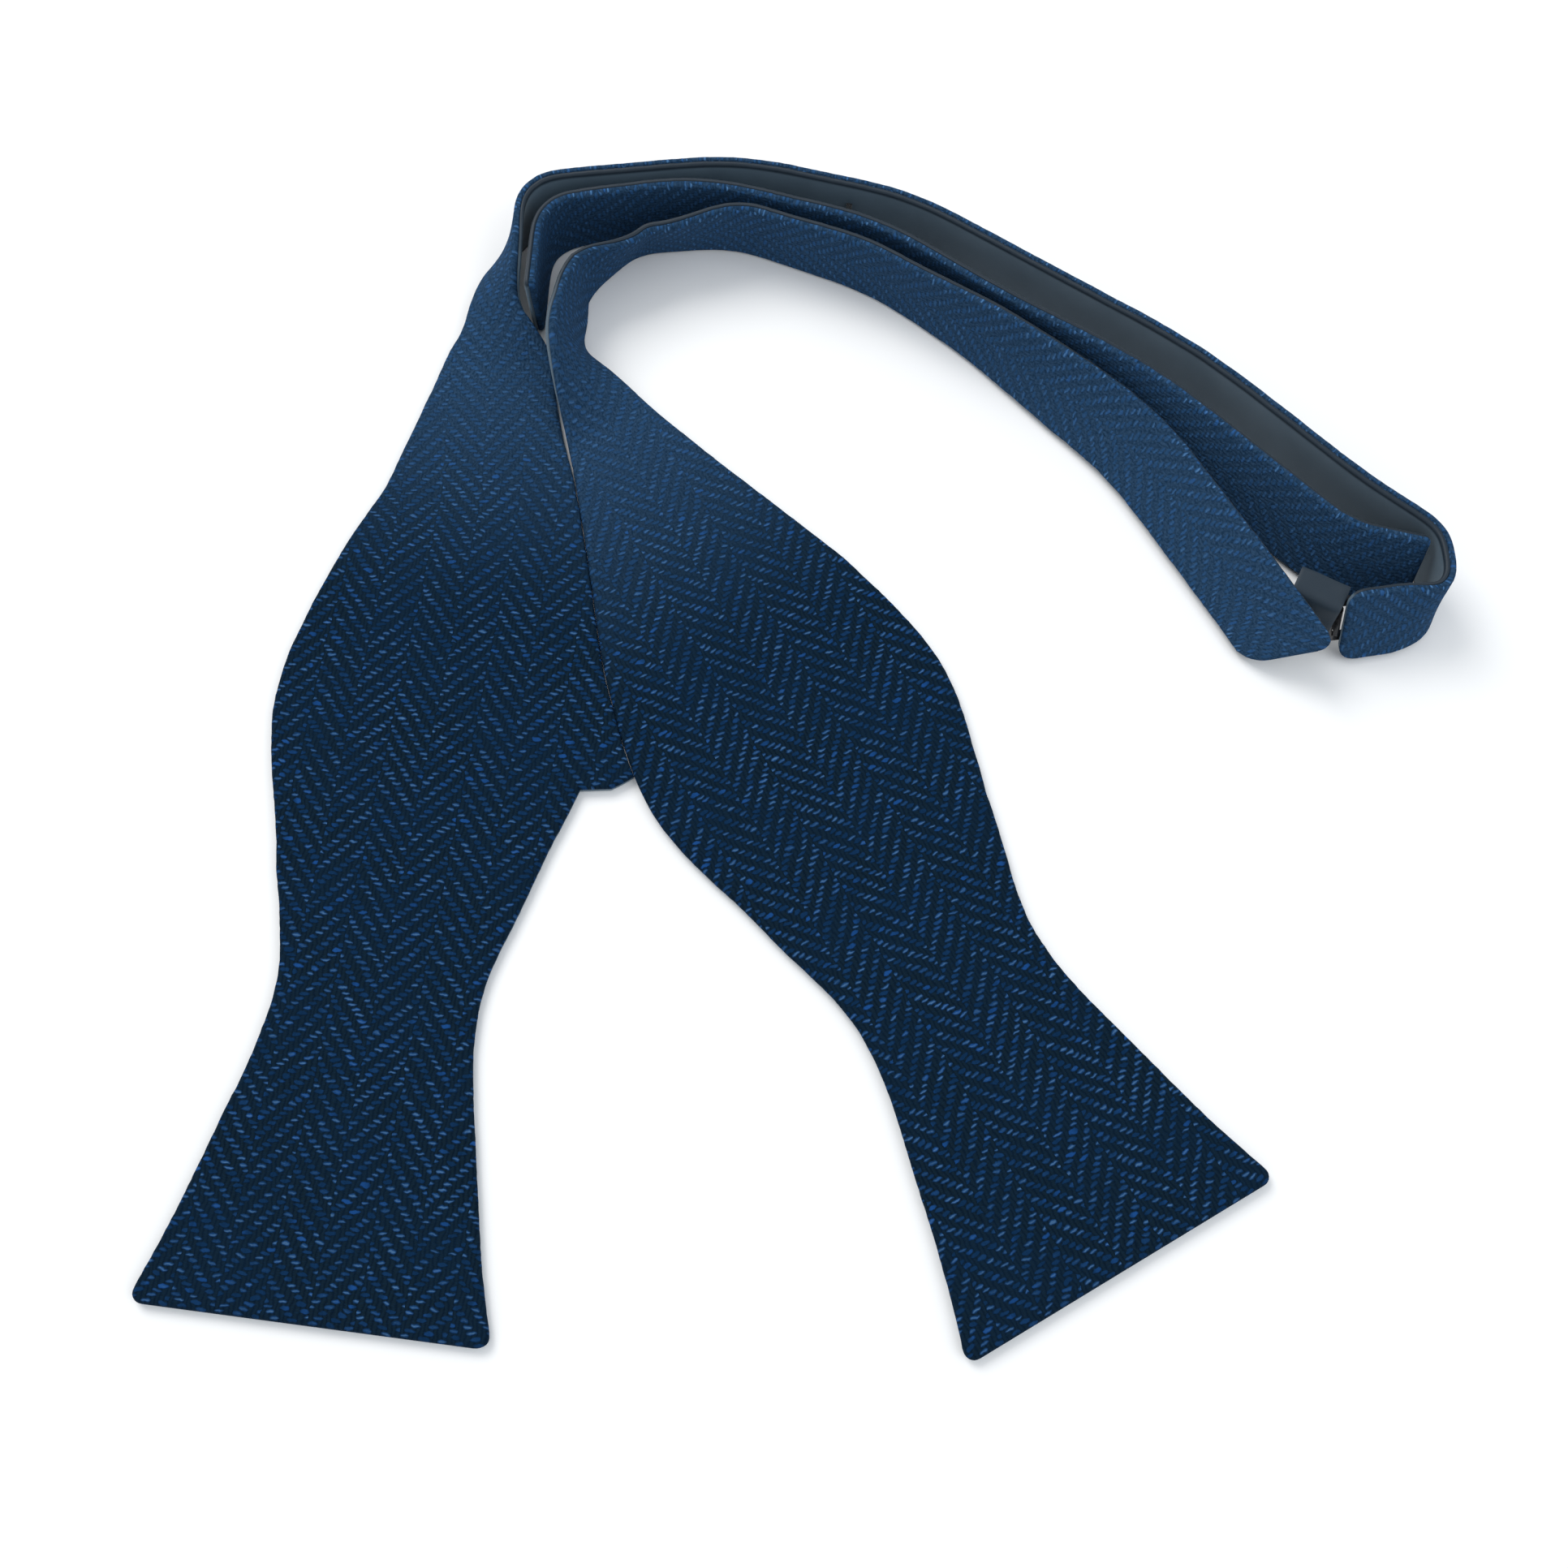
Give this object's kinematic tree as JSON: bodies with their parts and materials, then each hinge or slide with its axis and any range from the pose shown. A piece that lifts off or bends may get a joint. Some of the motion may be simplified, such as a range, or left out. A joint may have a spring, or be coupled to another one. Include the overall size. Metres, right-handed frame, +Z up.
{
  "type": "self-tie bow tie",
  "caption": "Untied self-tie butterfly bow tie in herringbone tweed with satin lining, flat blades and a neckband standing on edge, hooked at one side.",
  "frame": {"origin": "on the table under the middle of the whole outline: underside plane of the blades, plan centre of the bounding box", "axes": "+X right along the neckband, +Y away from the blade ends towards the neckband, +Z up from the table, tweed side of the blades"},
  "size_m": [0.2455, 0.2439, 0.0172],
  "materials": {
    "tweed": "blue and black herringbone wool tweed, brushed",
    "lining": "charcoal satin lining, soft sheen",
    "interlining": "undyed woven canvas",
    "thread": "black polyester thread",
    "clasp_metal": "black enamelled steel"
  },
  "bodies": {
    "neckband": {"rear_strap_face": "tweed", "rear_strap_canvas": "interlining", "rear_strap_lining": "lining", "tail_strap_face": "tweed", "tail_strap_canvas": "interlining", "tail_strap_lining": "lining", "front_strap_face": "tweed", "front_strap_canvas": "interlining", "front_strap_lining": "lining", "eye": "clasp_metal", "hook_tab": "lining", "bar_tacks": "thread"},
    "left_blade": {"left_bulb_face": "tweed", "left_bulb_canvas": "interlining", "left_bulb_lining": "lining"},
    "left_end": {"left_end_face": "tweed", "left_end_canvas": "interlining", "left_end_lining": "lining"},
    "right_blade": {"right_bulb_face": "tweed", "right_bulb_canvas": "interlining", "right_bulb_lining": "lining"},
    "right_end": {"right_end_face": "tweed", "right_end_canvas": "interlining", "right_end_lining": "lining"},
    "hook": {"hook": "clasp_metal"}
  },
  "joints": [
    {"name": "left_blade_lift", "type": "hinge", "parent": "neckband", "child": "left_blade", "pos_m": [-0.07115, 0.07547, 0.0024], "axis": [-0.9932, 0.1167, 0], "range_deg": [0, 30]},
    {"name": "left_end_fold", "type": "hinge", "parent": "left_blade", "child": "left_end", "pos_m": [-0.08013, -0.00101, 0.0024], "axis": [-0.9932, 0.1167, 0], "range_deg": [0, 90]},
    {"name": "right_blade_lift", "type": "hinge", "parent": "neckband", "child": "right_blade", "pos_m": [-0.04503, 0.06125, 0.0024], "axis": [-0.8721, -0.4894, 0], "range_deg": [0, 30]},
    {"name": "right_end_fold", "type": "hinge", "parent": "right_blade", "child": "right_end", "pos_m": [-0.00735, -0.0059, 0.0024], "axis": [-0.8721, -0.4894, 0], "range_deg": [0, 90]},
    {"name": "hook_swing", "type": "hinge", "parent": "neckband", "child": "hook", "pos_m": [0.09867, 0.01598, 0.00733], "axis": [0.0655, -0.4335, -0.8988], "range_deg": [0, 15]}
  ]
}
